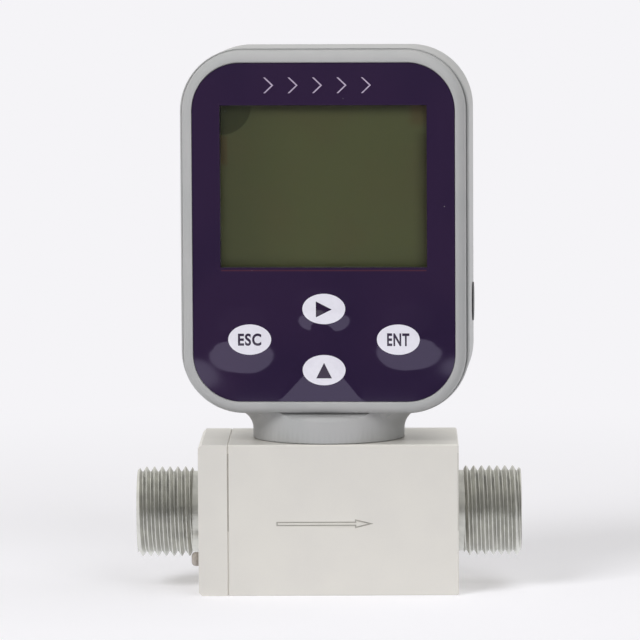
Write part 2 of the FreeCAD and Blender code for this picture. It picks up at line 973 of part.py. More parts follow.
def key_switches():
    switches = []
    body_y = board_front_y - switch_height
    tip_y = overlay_back_y + switch_air_gap
    half = switch_size / 2
    for x, z in key_places().values():
        body = box(x - half, x + half, body_y, board_front_y, z - half, z + half)
        button = rod_y(switch_button_radius, tip_y, body_y, x, z)
        switches.append(joined([body, button]))
    return Part.makeCompound(switches)


def board_parts():
    """Chips, the strip's plug and the lead's header on the back of the board."""
    parts = []
    chips = chip_sizes + [
        (0.0, flex_top_z - head_mid_z, flex_plug_size, flex_plug_width, flex_plug_depth),
        (lead_header_x, port_z - head_mid_z, lead_header_size, lead_header_size,
         lead_header_height),
    ]
    for x, rise, width, height, depth in chips:
        z = head_mid_z + rise
        parts.append(box(x - width / 2, x + width / 2, board_back_y, board_back_y + depth,
                         z - height / 2, z + height / 2))
    return Part.makeCompound(parts)


def sensor_flex():
    """Flexible strip up the neck and over to the board."""
    half = flex_thickness / 2
    low = body_height + sensor_board_thickness + flex_plug_height
    end_y = board_back_y + flex_plug_depth
    centre_y = -flex_bend
    centre_z = flex_top_z - flex_bend
    slant = math.sqrt(0.5)
    left = -flex_width / 2

    def arc(radius):
        return [V(left, centre_y + radius * c, centre_z + radius * s)
                for c, s in ((1, 0), (slant, slant), (0, 1))]

    outer = arc(flex_bend + half)
    inner = arc(flex_bend - half)
    outer_foot = V(left, half, low)
    inner_foot = V(left, -half, low)
    outer_end = V(left, end_y, flex_top_z + half)
    inner_end = V(left, end_y, flex_top_z - half)
    edges = [
        Part.makeLine(outer_foot, outer[0]),
        Part.Arc(*outer).toShape(),
        Part.makeLine(outer[2], outer_end),
        Part.makeLine(outer_end, inner_end),
        Part.makeLine(inner_end, inner[2]),
        Part.Arc(*inner).toShape(),
        Part.makeLine(inner[0], inner_foot),
        Part.makeLine(inner_foot, outer_foot),
    ]
    return Part.Face(Part.Wire(edges)).extrude(V(flex_width, 0, 0))


# Battery

def cell_middle_y():
    return bay_floor_y + cell_radius + cell_gap


def battery_cell():
    y = cell_middle_y()
    half = cell_length / 2
    shoulder_z = head_mid_z + half - cell_nub_height
    body = rod_z(cell_radius, head_mid_z - half, shoulder_z, 0, y)
    cap = rod_z(cell_nub_radius, shoulder_z, head_mid_z + half, 0, y)
    return joined([body, cap])


def contact_tail(side):
    """Thin tail of a contact, through the bay's floor to the board."""
    z_wall = head_mid_z + side * (cell_length / 2 + bay_end_room)
    z_inner = z_wall - side * contact_thickness
    return box(-contact_thickness, contact_thickness, board_back_y, bay_floor_y + contact_thickness,
               min(z_wall, z_inner), max(z_wall, z_inner))


def contact_slot(side):
    tail = contact_tail(side)
    bounds = tail.BoundBox
    play = contact_slot_play
    return box(bounds.XMin - play, bounds.XMax + play, bay_floor_y - bay_wall, bay_floor_y,
               bounds.ZMin - (play if side > 0 else 0), bounds.ZMax + (play if side < 0 else 0))


def battery_contacts():
    half = contact_width / 2
    y = cell_middle_y()
    contacts = []
    for side in (-1, 1):
        wall_z = head_mid_z + side * (cell_length / 2 + bay_end_room)
        inner_z = wall_z - side * contact_thickness
        plate = box(-half, half, bay_floor_y, y + half, min(wall_z, inner_z), max(wall_z, inner_z))
        cell_z = head_mid_z + side * cell_length / 2
        low = min(inner_z, cell_z)
        high = max(inner_z, cell_z)
        spring = rod_z(contact_spring_radius, low, high, 0, y)
        contacts.append(joined([plate, spring, contact_tail(side)]))
    return Part.makeCompound(contacts)


def battery_cover():
    inner_y = head_back_y - cover_thickness
    plate = slab(cover_width, cover_height, cover_corner, inner_y, head_back_y)
    grip_y = head_back_y - cover_thickness / 2
    grip_z = head_mid_z + cover_grip_rise
    tools = [slab(cover_grip_width, cover_grip_height, cover_grip_height * 0.45,
                  grip_y, head_back_y, grip_z)]
    for step in range(cover_ridge_count):
        ridge_z = grip_z - (step + 1) * cover_ridge_pitch
        tools.append(slab(cover_grip_width, cover_ridge_height, cover_ridge_height * 0.45,
                          grip_y, head_back_y, ridge_z))
    for z in cover_screw_heights():
        tools.append(rod_y(small_screw_radius + screw_play, inner_y, head_back_y, 0, z))
        tools.append(screw_sink(V(0, head_back_y, z), V(0, -1, 0)))
    return plate.cut(tools)


def battery_cover_gasket():
    inner_y = head_back_y - cover_thickness
    seat_y = inner_y - cover_gasket_thickness
    half_width, low, high = bay_limits()
    inner_width = 2 * (half_width + cover_gasket_margin)
    inner_height = high - low + 2 * cover_gasket_margin
    band = 2 * cover_gasket_width
    outer = slab(inner_width + band, inner_height + band, cover_gasket_corner, seat_y, inner_y)
    inner = slab(inner_width, inner_height, cover_gasket_corner - cover_gasket_width,
                 seat_y, inner_y)
    return outer.cut(inner)


def battery_cover_screws():
    screws = []
    for z in cover_screw_heights():
        screws.append(socket_screw(V(0, head_back_y, z), V(0, 1, 0), cover_screw_length,
                                   countersunk=True))
    return Part.makeCompound(screws)


# Signal socket

def io_socket():
    """Round socket that passes through the wall."""
    outer_x = head_width / 2
    radius = port_radius - socket_clearance
    body = rod_x(radius, outer_x - socket_length, outer_x, port_y, port_z)
    mouth = rod_x(radius - socket_wall, outer_x - socket_mouth_depth, outer_x, port_y, port_z)
    return body.cut(mouth)


def socket_pins():
    outer_x = head_width / 2
    start_x = outer_x - socket_mouth_depth
    end_x = outer_x - socket_pin_setback
    pins = []
    for quarter in range(4):
        angle = math.radians(45 + 90 * quarter)
        y = port_y + socket_pin_circle * math.cos(angle)
        z = port_z + socket_pin_circle * math.sin(angle)
        pins.append(rod_x(socket_pin_radius, start_x, end_x, y, z))
    return Part.makeCompound(pins)


def socket_nut():
    wall_x = head_width / 2 - head_wall
    nut = placed(hex_prism(socket_nut_flats, socket_nut_thickness),
                 V(wall_x - socket_nut_thickness, port_y, port_z), V(1, 0, 0))
    return nut.cut(rod_x(port_radius, wall_x - socket_nut_thickness, wall_x, port_y, port_z))


def port_cap():
    """Rubber dust cap pressed into the socket's mouth."""
    outer_x = head_width / 2
    flange = rod_x(port_radius, outer_x, outer_x + cap_lip, port_y, port_z)
    stem_radius = port_radius - socket_clearance - socket_wall - cap_stem_play
    stem = rod_x(stem_radius, outer_x - cap_stem_length, outer_x, port_y, port_z)
    return joined([flange, stem])


def socket_lead():
    """Round lead from the back of the socket to the header on the board."""
    start = V(head_width / 2 - socket_length, port_y, port_z)
    corner = V(lead_header_x, port_y, port_z)
    end = V(lead_header_x, board_back_y + lead_header_height, port_z)
    bend_in = corner + V(lead_bend, 0, 0)
    bend_out = corner - V(0, lead_bend, 0)
    middle = corner + V(1, -1, 0) * (lead_bend * (1 - math.sqrt(0.5)))
    path = Part.Wire([
        Part.makeLine(start, bend_in),
        Part.Arc(bend_in, middle, bend_out).toShape(),
        Part.makeLine(bend_out, end),
    ])
    section = Part.Wire([Part.makeCircle(lead_radius, start, V(1, 0, 0))])
    return path.makePipeShell([section], True, False)


BLOCK_PIECES = {
    "flow_body": flow_body,
    "end_plate": end_plate,
    "end_plate_seal": end_plate_seal,
    "end_plate_screws": end_plate_screws,
    "seal_screw": seal_screw,
    "inlet_fitting": inlet_fitting,
    "outlet_fitting": outlet_fitting,
    "outlet_seal": outlet_seal,
    "flow_screens": flow_screens,
    "screen_spacers": screen_spacers,
    "flow_straightener": flow_straightener,
    "sensor_carrier": sensor_carrier,
    "sensor_chip": sensor_chip,
    "sensor_seal": sensor_seal,
}

HEAD_PIECES = {
    "sensor_board": sensor_board,
    "sensor_flex": sensor_flex,
    "neck_seal": neck_seal,
    "neck_screws": neck_screws,
    "rear_housing": rear_housing,
    "housing_gasket": housing_gasket,
    "housing_screws": housing_screws,
    "front_bezel": front_bezel,
    "keypad_overlay": keypad_overlay,
    "display_window": display_window,
    "lcd_glass": lcd_glass,
    "lcd_backlight": lcd_backlight,
    "lcd_pins": lcd_pins,
    "main_board": main_board,
    "board_parts": board_parts,
    "key_switches": key_switches,
    "battery_cell": battery_cell,
    "battery_contacts": battery_contacts,
    "battery_cover": battery_cover,
    "battery_cover_gasket": battery_cover_gasket,
    "battery_cover_screws": battery_cover_screws,
    "io_socket": io_socket,
    "socket_pins": socket_pins,
    "socket_nut": socket_nut,
    "port_cap": port_cap,
    "socket_lead": socket_lead,
}


def main():
    os.makedirs("parts", exist_ok=True)
    for name, build in BLOCK_PIECES.items():
        build().exportStep("parts/" + name + ".step")
    for name, build in HEAD_PIECES.items():
        head_turned(build()).exportStep("parts/" + name + ".step")


main()
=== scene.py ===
import json
import math

import bpy
from mathutils import Matrix, Vector


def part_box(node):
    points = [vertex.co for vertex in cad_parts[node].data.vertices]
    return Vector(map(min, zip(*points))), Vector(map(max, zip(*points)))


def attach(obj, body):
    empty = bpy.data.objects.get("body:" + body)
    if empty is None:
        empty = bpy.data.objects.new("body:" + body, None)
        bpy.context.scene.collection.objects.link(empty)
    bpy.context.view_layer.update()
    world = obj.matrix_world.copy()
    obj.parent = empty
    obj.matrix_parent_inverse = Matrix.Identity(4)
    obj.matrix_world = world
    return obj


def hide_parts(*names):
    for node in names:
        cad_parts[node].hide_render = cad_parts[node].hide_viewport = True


# An in-line gas flow meter in a pale studio. Sizes are written in millimetres, and MM turns them
# into metres. The head is a little turned on its neck, so its pieces are made square and turned.

MM = 0.001
HEAD_TURN = math.radians(-2.9)

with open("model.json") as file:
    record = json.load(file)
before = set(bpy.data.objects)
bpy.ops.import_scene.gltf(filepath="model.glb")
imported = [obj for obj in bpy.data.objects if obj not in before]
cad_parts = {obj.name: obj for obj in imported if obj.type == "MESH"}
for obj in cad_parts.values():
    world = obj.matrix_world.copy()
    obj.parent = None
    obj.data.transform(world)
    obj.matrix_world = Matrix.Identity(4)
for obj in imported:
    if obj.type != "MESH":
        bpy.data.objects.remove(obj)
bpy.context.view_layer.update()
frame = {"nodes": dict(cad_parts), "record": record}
bpy.ops.object.select_all(action="DESELECT")
nodes = frame["nodes"]
slot_of = {part["node"]: part["material_slot"] for part in frame["record"]["subparts"]}


def span(node_name, axis):
    """Lowest and highest place of a node along an axis, in millimetres."""
    low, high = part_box(node_name)
    return low[axis] / MM, high[axis] / MM


film_low_z, film_high_z = span("keypad_overlay", 2)
HEAD_MIDDLE = (film_low_z + film_high_z) / 2
window_low_z, window_high_z = span("display_window", 2)
WINDOW_MIDDLE = (window_low_z + window_high_z) / 2
AXIS_HEIGHT = sum(span("outlet_fitting", 2)) / 2
FRAME_WIDTH = 65.15
FRAME_HEIGHT = 83.45
FRAME_CORNER = 13.775
FILM_WIDTH = 60.3
FILM_HEIGHT = film_high_z - film_low_z
FILM_CORNER = 11.0
FILM_FRONT = -16.7
FILM_BACK = -15.9
GRID_STEP = 0.4
WINDOW_WIDTH = 47.5
WINDOW_HEIGHT = 37.25
KEY_WIDTH = 9.87
KEY_HEIGHT = 7.0
KEY_SPREAD = 17.1
KEY_STEP = 7.05
KEY_MIDDLE = HEAD_MIDDLE - 24.6
HEADING_HEIGHT = 117.6
HEADING_STEP = 5.6
HEADING_SHIFT = -1.4
PRINT_LIFT = 0.02
DEEP = 3.0


# Shader maths

class Signal:
    """A node's output that can be used in sums."""

    def __init__(self, finish, socket):
        self.finish = finish
        self.socket = socket

    def maths(self, operation, other=None, third=None, clamp=False):
        values = {0: self}
        if other is not None:
            values[1] = other
        if third is not None:
            values[2] = third
        settings = {"operation": operation, "use_clamp": clamp}
        return self.finish.node("ShaderNodeMath", settings, values).out("Value")

    def __add__(self, other):
        return self.maths("ADD", other)

    __radd__ = __add__

    def __mul__(self, other):
        return self.maths("MULTIPLY", other)

    __rmul__ = __mul__

    def __sub__(self, other):
        return self.maths("SUBTRACT", other)

    def __rsub__(self, other):
        return (self * -1.0) + other

    def __truediv__(self, other):
        return self.maths("DIVIDE", other)

    def __pow__(self, other):
        return self.maths("POWER", other)

    def above(self, level):
        return self.maths("GREATER_THAN", level)

    def below(self, level):
        return self.maths("LESS_THAN", level)

    def rising(self, start, end):
        """0 below start, 1 above end, and a smooth step between them."""
        settings = {"interpolation_type": "SMOOTHSTEP"}
        values = {"Value": self, "From Min": start, "From Max": end}
        return self.finish.node("ShaderNodeMapRange", settings, values).out("Result")

    def size(self):
        return self.maths("ABSOLUTE")


class Node:
    def __init__(self, finish, node):
        self.finish = finish
        self.node = node

    def out(self, name):
        return Signal(self.finish, self.node.outputs[name])


class Finish:
    """Node tree of a material or of the world."""

    def __init__(self, owner):
        self.owner = owner
        owner.use_nodes = True
        self.tree = owner.node_tree
        self.tree.nodes.clear()

    def node(self, kind, settings=None, values=None):
        made = self.tree.nodes.new(kind)
        for name, setting in (settings or {}).items():
            if name == "stops":
                self.set_stops(made.color_ramp, setting)
            else:
                setattr(made, name, setting)
        for name, value in (values or {}).items():
            if isinstance(value, Signal):
                self.tree.links.new(value.socket, made.inputs[name])
            else:
                made.inputs[name].default_value = value
        return Node(self, made)

    @staticmethod
    def set_stops(ramp, stops):
        while len(ramp.elements) < len(stops):
            ramp.elements.new(1.0)
        for element, (place, colour) in zip(ramp.elements, stops):
            element.position = place
            element.color = colour

    def place(self, turned=False, scale=(1000, 1000, 1000), shift=(0, 0, 0)):
        """Object coordinates in millimetres, square to the head if turned."""
        where = self.node("ShaderNodeTexCoord").out("Object")
        if turned:
            turn = {"Vector": where, "Rotation": (0, 0, -HEAD_TURN)}
            where = self.node("ShaderNodeMapping", None, turn).out("Vector")
        values = {"Vector": where, "Scale": scale, "Location": shift}
        return self.node("ShaderNodeMapping", None, values).out("Vector")

    def axes(self, vector):
        split = self.node("ShaderNodeSeparateXYZ", None, {0: vector})
        return split.out("X"), split.out("Y"), split.out("Z")

    def noise(self, vector, scale, detail=2.0, roughness=0.5):
        values = {"Vector": vector, "Scale": scale, "Detail": detail, "Roughness": roughness}
        return self.node("ShaderNodeTexNoise", None, values).out(0)

    def blend(self, share, first, second):
        """Mix of two colours."""
        settings = {"data_type": "RGBA"}
        values = {0: share, 6: first, 7: second}
        return self.node("ShaderNodeMix", settings, values).out(2)

    def bump(self, height, strength, distance):
        values = {"Height": height, "Strength": strength, "Distance": distance}
        return self.node("ShaderNodeBump", None, values).out("Normal")

    def surface(self, **values):
        """Principled surface. Words in a socket's name are joined by an underscore."""
        sockets = {name.replace("_", " "): value for name, value in values.items()}
        return self.node("ShaderNodeBsdfPrincipled", None, sockets).out("BSDF")

    def show(self, shader):
        output = "ShaderNodeOutputMaterial"
        if isinstance(self.owner, bpy.types.World):
            output = "ShaderNodeOutputWorld"
        self.node(output, None, {"Surface": shader})
        return self.owner


def finish(name):
    return Finish(bpy.data.materials.new(name))


def rgb(red, green, blue):
    """Linear colour from screen values of 0 to 255."""
    def linear(value):
        value = value / 255
        if value <= 0.04045:
            return value / 12.92
        return ((value + 0.055) / 1.055) ** 2.4
    return (linear(red), linear(green), linear(blue), 1.0)


# Finishes

def anodised_aluminium():
    """Bead-blasted and clear anodised: a fine grain with faint clouds, darker in the arrow."""
    f = finish("anodised_aluminium")
    where = f.place()
    grain = f.noise(where, 3.2, 3.0, 0.7)
    clouds = f.noise(where, 0.09, 2.0)
    tone = f.blend((clouds * 0.7 + grain * 0.3).rising(0.30, 0.70),
                   rgb(227, 224, 218), rgb(231, 228, 221))
    _, y, z = f.axes(where)
    arrow_floor = (y + 17.93).above(0.0) * (y + 17.80).below(0.0)
    arrow = arrow_floor * (z - 24.0).size().below(9.0)
    return f.show(f.surface(
        Base_Color=f.blend(arrow * 0.55, tone, rgb(128, 122, 112)),
        Metallic=0.30,
        Roughness=(grain * 0.14) + 0.34,
        Normal=f.bump(grain, 0.16, 0.00005),
    ))


def turned_steel():
    """Turned stainless steel with fine tool marks round the flow axis."""
    f = finish("turned_steel")
    where = f.place(scale=(1000, 120, 120))
    marks = f.noise(where, 5.0, 2.0, 0.6)
    stain = f.noise(f.place(), 0.35, 3.0)
    tone = f.blend(stain.rising(0.35, 0.65), rgb(192, 192, 187), rgb(204, 204, 198))
    return f.show(f.surface(
        Base_Color=tone,
        Metallic=1.0,
        Roughness=(marks * 0.14) + 0.33,
        Normal=f.bump(marks, 0.10, 0.00003),
    ))


def grey_moulding():
    """Grey plastic with the fine texture of a spark-eroded mould."""
    f = finish("grey_moulding")
    where = f.place()
    grain = f.noise(where, 4.5, 2.0, 0.6)
    clouds = f.noise(where, 0.08, 2.0)
    tone = f.blend(clouds.rising(0.35, 0.65), rgb(176, 177, 177), rgb(181, 181, 181))
    return f.show(f.surface(
        Base_Color=tone,
        Roughness=(grain * 0.12) + 0.40,
        Normal=f.bump(grain, 0.12, 0.00004),
    ))


def plain(name, colour, roughness, metallic=0.0, grain_scale=2.5, grain_depth=0.06, dark=0.88):
    """Finish of a small or inner piece: one colour, a little uneven, and a fine grain."""
    f = finish(name)
    grain = f.noise(f.place(), grain_scale, 3.0)
    darker = tuple(dark * value for value in colour[:3]) + (1.0,)
    return f.show(f.surface(
        Base_Color=f.blend(grain.rising(0.3, 0.7), darker, colour),
        Metallic=metallic,
        Roughness=(grain * 0.16) + (roughness - 0.08),
        Normal=f.bump(grain, grain_depth, 0.00005),
    ))


def purple_film():
    """Glossy printed film: dark purple, with specks of dust and a line of glue below the window."""
    f = finish("purple_film")
    where = f.place(turned=True)
    clouds = f.noise(where, 0.03, 1.0)
    tone = f.blend(clouds.rising(0.4, 0.6), rgb(45, 33, 60), rgb(50, 36, 63))
    x, _, z = f.axes(where)
    below = (WINDOW_MIDDLE - WINDOW_HEIGHT / 2) - z
    glue = below.above(0.55) * below.below(0.80) * x.size().below(23.6)
    tone = f.blend(glue * 0.55, tone, rgb(104, 58, 62))
    return f.show(f.surface(
        Base_Color=f.blend(dust_specks(f, where), tone, rgb(150, 145, 150)),
        Roughness=0.05,
        IOR=1.58,
        Specular_Tint=(0.80, 0.75, 1.0, 1.0),
    ))


def dust_specks(f, where):
    """Mask of tiny specks, few and far between."""
    cells = f.node("ShaderNodeTexVoronoi", {"feature": "F1"}, {"Vector": where, "Scale": 0.16})
    distance = cells.out("Distance")
    pick = f.node("ShaderNodeSeparateXYZ", None, {0: cells.out("Color")})
    chosen = pick.out("X").above(0.35)
    radius = (pick.out("Y") * 0.022) + 0.014
    near = (distance / radius).below(1.0)
    return near * chosen * 0.8


def window_pane():
    """Clear pane with a faint gloss and specks of dust."""
    f = finish("window_pane")
    where = f.place(turned=True)
    clear = f.node("ShaderNodeBsdfTransparent", None, {"Color": (0.97, 0.975, 0.96, 1.0)})
    gloss = f.node("ShaderNodeBsdfGlossy", None, {"Color": (1, 1, 1, 1), "Roughness": 0.04})
    dust = f.node("ShaderNodeBsdfDiffuse", None, {"Color": rgb(170, 170, 155)})
    fresnel = f.node("ShaderNodeFresnel", None, {"IOR": 1.5}).out("Fac")
    pane = f.node("ShaderNodeMixShader", None, {0: fresnel, 1: clear.out("BSDF"),
                                                2: gloss.out("BSDF")}).out("Shader")
    return f.show(f.node("ShaderNodeMixShader", None, {
        0: dust_specks(f, where) * 0.6, 1: pane, 2: dust.out("BSDF")}).out("Shader"))


def display_glass():
    """Unlit liquid crystal display: olive grey, darker towards the left and clouded with brown.
    Painted shade of the window's recess darkens its top edge, its right edge and its top left
    corner, and browns parts of its left edge and its top right corner.
    """
    f = finish("display_glass")
    where = f.place(turned=True)
    x, _, z = f.axes(where)
    right = x + WINDOW_WIDTH / 2
    up = z - (WINDOW_MIDDLE - WINDOW_HEIGHT / 2)
    down = WINDOW_HEIGHT - up
    clouds = f.noise(where, 0.06, 2.0)
    even = f.blend(right.rising(2.0, 20.0), rgb(124, 127, 90), rgb(135, 139, 97))
    browned = f.blend(clouds.rising(0.45, 0.75) * 0.35, even, rgb(137, 127, 93))
    # Painted shade: a darker band along the top edge, standing in for the shadow of the window's
    # recess.
    top_painted_shade = f.blend(down.rising(0.2, 3.2), rgb(104, 103, 74), browned)
    # Painted shade: a darker band down the right edge, below the top.
    right_edge_painted_shade_mask = (WINDOW_WIDTH - right).rising(3.6, 0.4) * down.rising(5.0, 7.5)
    with_right_painted_shade = f.blend(right_edge_painted_shade_mask * 0.55, top_painted_shade, rgb(96, 88, 64))
    # Painted shade in brown: along part of the left edge and at the top right corner.
    left_edge_painted_shade_mask = right.rising(1.9, 1.2) * down.rising(6.6, 7.6) * down.rising(14.4, 13.2)
    top_right_painted_shade_mask = (WINDOW_WIDTH - right).rising(5.0, 2.6) * down.rising(6.0, 3.4)
    edge_painted_shade_mask = left_edge_painted_shade_mask.maths("MAXIMUM", top_right_painted_shade_mask)
    with_painted_edge_shade = f.blend(edge_painted_shade_mask * 0.45, with_right_painted_shade, rgb(129, 95, 67))
    # Painted shade: the top left corner is darkened.
    corner = (((right / 7.1) ** 2.0) + ((down / 6.9) ** 2.0)).rising(1.06, 0.94)
    tone = f.blend(corner * 0.8, with_painted_edge_shade, rgb(83, 88, 62))
    return f.show(f.surface(
        Base_Color=tone,
        Roughness=0.45,
        Normal=f.bump(f.noise(where, 5.0, 1.0), 0.04, 0.00005),
    ))


FINISHES = {
    "anodised_aluminium": anodised_aluminium(),
    "fitting_steel": turned_steel(),
    "screw_steel": plain("screw_steel", rgb(206, 204, 200), 0.30, 1.0),
    "seal_screw_steel": plain("seal_screw_steel", rgb(184, 176, 168), 0.46, 0.35),
    "seal_rubber": plain("seal_rubber", rgb(40, 40, 41), 0.62),
    "screen_steel": plain("screen_steel", rgb(196, 196, 194), 0.34, 1.0),
    "conditioner_plastic": plain("conditioner_plastic", rgb(228, 227, 220), 0.50),
    "sensor_plastic": plain("sensor_plastic", rgb(60, 60, 63), 0.48),
    "sensor_silicon": plain("sensor_silicon", rgb(74, 78, 92), 0.16),
    "board_green": plain("board_green", rgb(28, 104, 62), 0.34),
    "flex_amber": plain("flex_amber", rgb(182, 110, 40), 0.26),
    "housing_grey": grey_moulding(),
    "overlay_film": purple_film(),
    "window_clear": window_pane(),
    "display_glass": display_glass(),
    "diffuser_white": plain("diffuser_white", rgb(236, 236, 230), 0.55),
    "contact_metal": plain("contact_metal", rgb(214, 210, 196), 0.28, 1.0),
    "chip_black": plain("chip_black", rgb(38, 38, 40), 0.52),
    "cell_sleeve": plain("cell_sleeve", rgb(52, 92, 142), 0.24),
    "socket_black": plain("socket_black", rgb(44, 44, 46), 0.46),
    "nut_brass": plain("nut_brass", rgb(206, 184, 128), 0.28, 1.0),
    "cap_rubber": plain("cap_rubber", rgb(46, 46, 48), 0.58),
    "oval_white": plain("oval_white", rgb(236, 234, 244), 0.12, 0.0, 1.2, 0.01, 0.97),
    "sign_purple": plain("sign_purple", rgb(48, 34, 60), 0.12, 0.0, 1.2, 0.01),
    "word_purple": plain("word_purple", rgb(62, 52, 74), 0.12, 0.0, 1.2, 0.01),
    "heading_lilac": plain("heading_lilac", rgb(190, 176, 200), 0.14, 0.0, 1.2, 0.01),
}

for part in frame["record"]["subparts"]:
    node = nodes[part["node"]]
    node.data.materials.clear()
    node.data.materials.append(FINISHES[part["material_slot"]])


# Making pieces

def chosen():
    return bpy.context.view_layer.objects.active


def pick(thing):
    bpy.ops.object.select_all(action="DESELECT")
    thing.select_set(True)
    bpy.context.view_layer.objects.active = thing


def edit(thing, select="SELECT"):
    pick(thing)
    bpy.ops.object.mode_set(mode="EDIT")
    bpy.ops.mesh.select_mode(type="VERT")
    bpy.ops.mesh.select_all(action=select)


def end_edit():
    bpy.ops.object.mode_set(mode="OBJECT")


def settle(thing):
    """Puts the place, turn and scale of a piece into its mesh."""
    pick(thing)
    bpy.ops.object.transform_apply(location=True, rotation=True, scale=True)
    return thing


def face_outwards(thing):
    edit(thing)
    bpy.ops.mesh.remove_doubles(threshold=1e-6)
    bpy.ops.mesh.normals_make_consistent(inside=False)
    end_edit()
    return thing


def turn_with_head(thing):
    edit(thing)
    bpy.ops.transform.rotate(value=-HEAD_TURN, orient_axis="Z", center_override=(0, 0, 0))
    end_edit()
    return thing


def twin(thing):
    copy = thing.copy()
    copy.data = thing.data.copy()
    bpy.context.scene.collection.objects.link(copy)
    return copy


def apply(thing, kind, **settings):
    pick(thing)
    modifier = thing.modifiers.new(kind.lower(), kind)
    for name, setting in settings.items():
        setattr(modifier, name, setting)
    bpy.ops.object.modifier_apply(modifier=modifier.name)
    return thing


def combine(thing, operation, tool):
    apply(thing, "BOOLEAN", object=tool, operation=operation, solver="EXACT")
    bpy.data.objects.remove(tool)
    return thing


def smooth(thing, angle):
    pick(thing)
    bpy.ops.object.shade_smooth_by_angle(angle=math.radians(angle))
    return thing


STRONG_FACES = 90
BLOCK_ANGLE = 12
MOULDED_ANGLE = 28


def even_shading(thing, angle):
    """Smooth shading in which large flat faces stay flat up to their rounded edges."""
    smooth(thing, angle)
    return apply(thing, "WEIGHTED_NORMAL", mode="FACE_AREA", keep_sharp=True,
                 weight=STRONG_FACES)


def dress(thing, name, slot, *replaced):
    """Names a finished piece, gives it its finish and lets it ride on the body."""
    thing.name = name
    thing.data.name = name
    thing.data.materials.clear()
    thing.data.materials.append(FINISHES[slot])
    for face in thing.data.polygons:
        face.material_index = 0
    slot in slot_of.values()
    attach(thing, "root")
    if replaced:
        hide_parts(*replaced)
    return thing


def rounded_copy(node_name, angle=MOULDED_ANGLE, cutters=()):
    """A solid's copy with its loose triangles merged, so that its curves shade smoothly."""
    copy = twin(nodes[node_name])
    edit(copy)
    bpy.ops.mesh.remove_doubles(threshold=2e-6)
    end_edit()
    for cutter in cutters:
        combine(copy, "DIFFERENCE", cutter)
    even_shading(copy, angle)
    return dress(copy, node_name + "_rounded", slot_of[node_name], node_name)


def draw_line(points):
    """Line through points in millimetres, drawn by extruding a vertex along it."""
    start = Vector(points[0]) * MM
    bpy.ops.mesh.primitive_plane_add(size=MM, location=start)
    line = settle(chosen())
    edit(line)
    bpy.ops.mesh.merge(type="CENTER")
    for here, there in zip(points, points[1:]):
        step = (Vector(there) - Vector(here)) * MM
        bpy.ops.mesh.extrude_vertices_move(TRANSFORM_OT_translate={"value": step})
    end_edit()
    return line


def plate(width, height, corner, front, back, middle_z, middle_x=0.0):
    """Upright plate with rounded corners, facing the front."""
    place = Vector((middle_x, front, middle_z)) * MM
    bpy.ops.mesh.primitive_plane_add(size=1, location=place, rotation=(math.pi / 2, 0, 0))
    made = chosen()
    made.scale = (width * MM, height * MM, 1)
    settle(made)
    edit(made)
    if corner:
        bpy.ops.mesh.bevel(offset=corner * MM, segments=20, affect="VERTICES")
    bpy.ops.mesh.extrude_region_move(
        TRANSFORM_OT_translate={"value": (0, (back - front) * MM, 0)})
    end_edit()
    return face_outwards(made)


# Head's shell, with what is finer than its solid

NECK_RADIUS = 17.65
NECK_FOOT = 35.0
NECK_STEPS = 128
CASE_BOTTOM = 41.65
FRAME_BOTTOM = 42.075
FLARE_RADIUS = 4.6
FLARE_STEPS = 12
FLARE_FRONT = -12.4
FLARE_BACK = 14.3
FADE_START = 42.0
FADE_REACH = 30.0
GROOVE_WIDTH = 0.3
LIP_REACH = 14.0


def upright_ring(profile):
    """Ring turned about the neck's axis from (radius, z) points."""
    line = draw_line([(radius, 0.0, z) for radius, z in profile + profile[:1]])
    edit(line)
    bpy.ops.mesh.spin(steps=NECK_STEPS, angle=2 * math.pi, axis=(0, 0, 1), center=(0, 0, 0))
    end_edit()
    return face_outwards(line)


def keep_between(thing, low_y, high_y):
    """Cuts a piece off in front of one place and behind another."""
    for y, inner in ((low_y, True), (high_y, False)):
        edit(thing)
        bpy.ops.mesh.bisect(plane_co=(0, y * MM, 0), plane_no=(0, 1, 0), use_fill=True,
                            clear_inner=inner, clear_outer=not inner)
        end_edit()
    return thing


def fade_to_front(flare):
    """Draws the blend back into the neck where it nears the front."""
    for vertex in flare.data.vertices:
        x, y, _ = vertex.co / MM
        radius = math.hypot(x, y)
        if radius > NECK_RADIUS - 0.5:
            from_front = math.degrees(math.atan2(abs(x), -y))
            share = min(max((from_front - FADE_START) / FADE_REACH, 0.0), 1.0)
            share = share * share * (3.0 - 2.0 * share)
            wanted = NECK_RADIUS - 0.1 + (radius - NECK_RADIUS + 0.1) * share
            vertex.co.x *= wanted / radius
            vertex.co.y *= wanted / radius


def parting_groove():
    """Fine groove in the shell's rim, all round the front frame."""
    groove = plate(FRAME_WIDTH + 2 * GROOVE_WIDTH, FRAME_HEIGHT + 2 * GROOVE_WIDTH,
                   FRAME_CORNER + GROOVE_WIDTH, -13.2, -11.9, HEAD_MIDDLE)
    frame_space = plate(FRAME_WIDTH, FRAME_HEIGHT, FRAME_CORNER, -14.0, -11.0, HEAD_MIDDLE)
    return turn_with_head(combine(groove, "DIFFERENCE", frame_space))


def foot_groove():
    """Fine groove round the neck where it stands on the block."""
    return upright_ring([(17.3, NECK_FOOT - 0.2), (18.6, NECK_FOOT - 0.2),
                         (18.6, NECK_FOOT + 0.22), (17.3, NECK_FOOT + 0.22)])


def make_flare():
    """Wide blend between the neck and the underside of the case."""
    middle = (NECK_RADIUS + FLARE_RADIUS, CASE_BOTTOM - FLARE_RADIUS)
    arc = []
    for step in range(FLARE_STEPS + 1):
        angle = math.radians(180 - 90 * step / FLARE_STEPS)
        arc.append((middle[0] + FLARE_RADIUS * math.cos(angle),
                    middle[1] + FLARE_RADIUS * math.sin(angle)))
    inside = NECK_RADIUS - 0.8
    top = FRAME_BOTTOM - 0.05
    flare = upright_ring(arc + [(arc[-1][0], top), (inside, top), (inside, arc[0][1])])
    fade_to_front(flare)
    keep_between(flare, FLARE_FRONT, FLARE_BACK)
    turn_with_head(flare)
    smooth(flare, 30)
    dress(flare, "neck_flare", "housing_grey")


